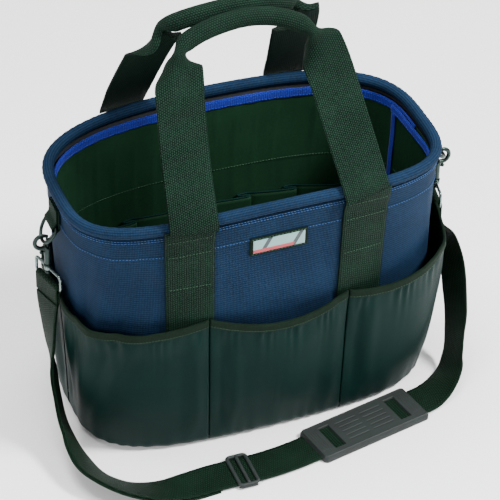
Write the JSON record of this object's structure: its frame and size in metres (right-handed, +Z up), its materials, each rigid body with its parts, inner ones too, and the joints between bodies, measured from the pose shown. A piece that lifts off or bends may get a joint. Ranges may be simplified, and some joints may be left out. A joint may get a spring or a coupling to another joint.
{
  "type": "garden tool bag",
  "caption": "Open-topped oval canvas tool bag with outer and inner pockets, two webbing grab handles and a clip-on shoulder strap.",
  "frame": {"origin": "middle of the base, on the floor", "axes": "+X to the bag's right along its length, -Y to its front, +Z up"},
  "size_m": [0.4544, 0.2924, 0.4597],
  "materials": {
    "canvas": "navy ribbed polyester canvas, matt",
    "board": "plain grey polypropylene board",
    "foam": "grey closed-cell foam",
    "lining": "dark green coated nylon lining, soft sheen",
    "binding": "bright blue woven binding tape",
    "pocket_nylon": "black-green pack cloth with a slight sheen",
    "webbing": "black-green heavy woven webbing",
    "strap_webbing": "black-green fine-ribbed webbing",
    "label": "woven label in silver green with a red stripe",
    "hook_metal": "dark nickel plate, worn bright on edges",
    "bail_steel": "bright nickel-plated wire",
    "moulded_pad": "black-green moulded rubber, satin"
  },
  "bodies": {
    "bag": {"base_panel": "canvas", "base_board": "board", "outer_shell": "canvas", "wall_stiffener": "board", "rim_roll": "canvas", "rim_core": "foam", "lining": "lining", "lining_binding": "binding", "lining_seam_tape": "binding", "rear_inner_pockets": "lining", "rear_inner_pockets_piping": "pocket_nylon", "front_inner_pockets": "lining", "front_inner_pockets_piping": "pocket_nylon", "front_pocket_left": "pocket_nylon", "front_pocket_left_binding": "webbing", "front_pocket_middle": "pocket_nylon", "front_pocket_middle_binding": "webbing", "front_pocket_right": "pocket_nylon", "front_pocket_right_binding": "webbing", "front_handle_tail_left": "webbing", "front_handle_tail_right": "webbing", "rear_pocket_left": "pocket_nylon", "rear_pocket_left_binding": "webbing", "rear_pocket_middle": "pocket_nylon", "rear_pocket_middle_binding": "webbing", "rear_pocket_right": "pocket_nylon", "rear_pocket_right_binding": "webbing", "rear_handle_tail_left": "webbing", "rear_handle_tail_right": "webbing", "badge_patch": "label", "badge_face": "label", "left_ring_tab": "webbing", "right_ring_tab": "webbing", "shoulder_strap": "strap_webbing"},
    "front_handle": {"front_handle_webbing": "webbing", "front_handle_grip_core": "foam"},
    "rear_handle": {"rear_handle_webbing": "webbing", "rear_handle_grip_core": "foam"},
    "left_ring": {"left_d_ring": "hook_metal"},
    "left_hook": {"left_hook_body": "hook_metal", "left_bolt_spring": "hook_metal"},
    "left_bolt": {"left_hook_bolt": "hook_metal"},
    "left_bail": {"left_swivel_bail": "bail_steel", "left_strap_loop": "strap_webbing"},
    "right_ring": {"right_d_ring": "hook_metal"},
    "right_hook": {"right_hook_body": "hook_metal", "right_bolt_spring": "hook_metal"},
    "right_bolt": {"right_hook_bolt": "hook_metal"},
    "right_bail": {"right_swivel_bail": "bail_steel", "right_strap_loop": "strap_webbing"},
    "slider": {"strap_slider": "moulded_pad"},
    "pad": {"shoulder_pad": "moulded_pad"}
  },
  "joints": [
    {"name": "front_handle_fold", "type": "hinge", "parent": "bag", "child": "front_handle", "pos_m": [0, -0.1115, 0.2903], "axis": [1, 0, 0], "range_deg": [0, 150]},
    {"name": "rear_handle_fold", "type": "hinge", "parent": "bag", "child": "rear_handle", "pos_m": [0, 0.1115, 0.2903], "axis": [-1, 0, 0], "range_deg": [0, 150]},
    {"name": "left_ring_swing", "type": "hinge", "parent": "bag", "child": "left_ring", "pos_m": [-0.1999, 0.001, 0.246], "axis": [0, 1, 0], "range_deg": [0, 50]},
    {"name": "left_hook_swing", "type": "hinge", "parent": "left_ring", "child": "left_hook", "pos_m": [-0.21097, 0.001, 0.22757], "axis": [0, 1, 0], "range_deg": [0, 15]},
    {"name": "left_bolt_pull", "type": "slide", "parent": "left_hook", "child": "left_bolt", "axis": [0, 0, -1], "range_m": [0, 0.005], "stiffness_N_per_m": 300, "springref_m": -0.008, "deforming": ["left_bolt_spring"]},
    {"name": "left_swivel_turn", "type": "hinge", "parent": "left_hook", "child": "left_bail", "pos_m": [-0.20578, 0.001, 0.19167], "axis": [0, 0, 1], "range_deg": [-25, 0]},
    {"name": "right_ring_swing", "type": "hinge", "parent": "bag", "child": "right_ring", "pos_m": [0.20002, -0.008, 0.249], "axis": [0, -1, 0], "range_deg": [0, 50]},
    {"name": "right_hook_swing", "type": "hinge", "parent": "right_ring", "child": "right_hook", "pos_m": [0.216, -0.008, 0.23461], "axis": [0, -1, 0], "range_deg": [0, 15]},
    {"name": "right_bolt_pull", "type": "slide", "parent": "right_hook", "child": "right_bolt", "axis": [0, 0, -1], "range_m": [0, 0.005], "stiffness_N_per_m": 300, "springref_m": -0.008, "deforming": ["right_bolt_spring"]},
    {"name": "right_swivel_turn", "type": "hinge", "parent": "right_hook", "child": "right_bail", "pos_m": [0.2108, -0.008, 0.19871], "axis": [0, 0, 1], "range_deg": [0, 25]},
    {"name": "slider_travel", "type": "slide", "parent": "bag", "child": "slider", "axis": [1, 0, 0], "range_m": [-0.006, 0.006]},
    {"name": "pad_travel", "type": "slide", "parent": "bag", "child": "pad", "axis": [0.9781, 0.2082, 0], "range_m": [-0.004, 0.004]}
  ]
}
